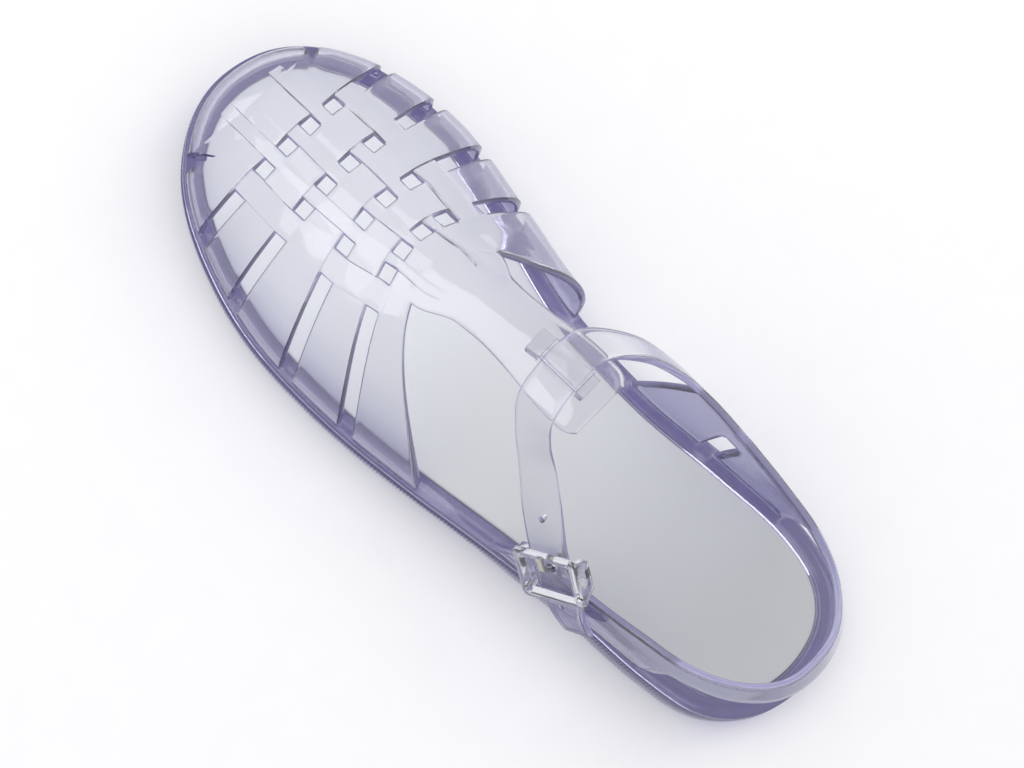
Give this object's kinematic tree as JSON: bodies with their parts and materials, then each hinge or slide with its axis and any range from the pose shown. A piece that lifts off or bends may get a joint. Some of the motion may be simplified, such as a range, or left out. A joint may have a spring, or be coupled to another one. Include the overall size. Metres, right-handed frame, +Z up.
{
  "type": "jelly sandal",
  "caption": "Clear vinyl fisherman sandal with a woven vamp, a middle strap, a buckled ankle strap and a white insole. Left foot.",
  "frame": {"origin": "centre of the bounding box at the ground plane", "axes": "+Y to the toe, +Z up, +X to the inner side of the foot, the buckle is on -X"},
  "size_m": [0.0876, 0.2398, 0.0744],
  "materials": {
    "outsole": "clear tinted flexible vinyl, glossy",
    "insole": "matte",
    "upper": "clear tinted flexible vinyl, glossy",
    "buckle": "clear gloss",
    "prong": "satin"
  },
  "bodies": {
    "root": {"outsole": "outsole", "insole": "insole", "upper": "upper", "buckle_frame": "buckle", "buckle_prong": "prong"}
  },
  "joints": []
}
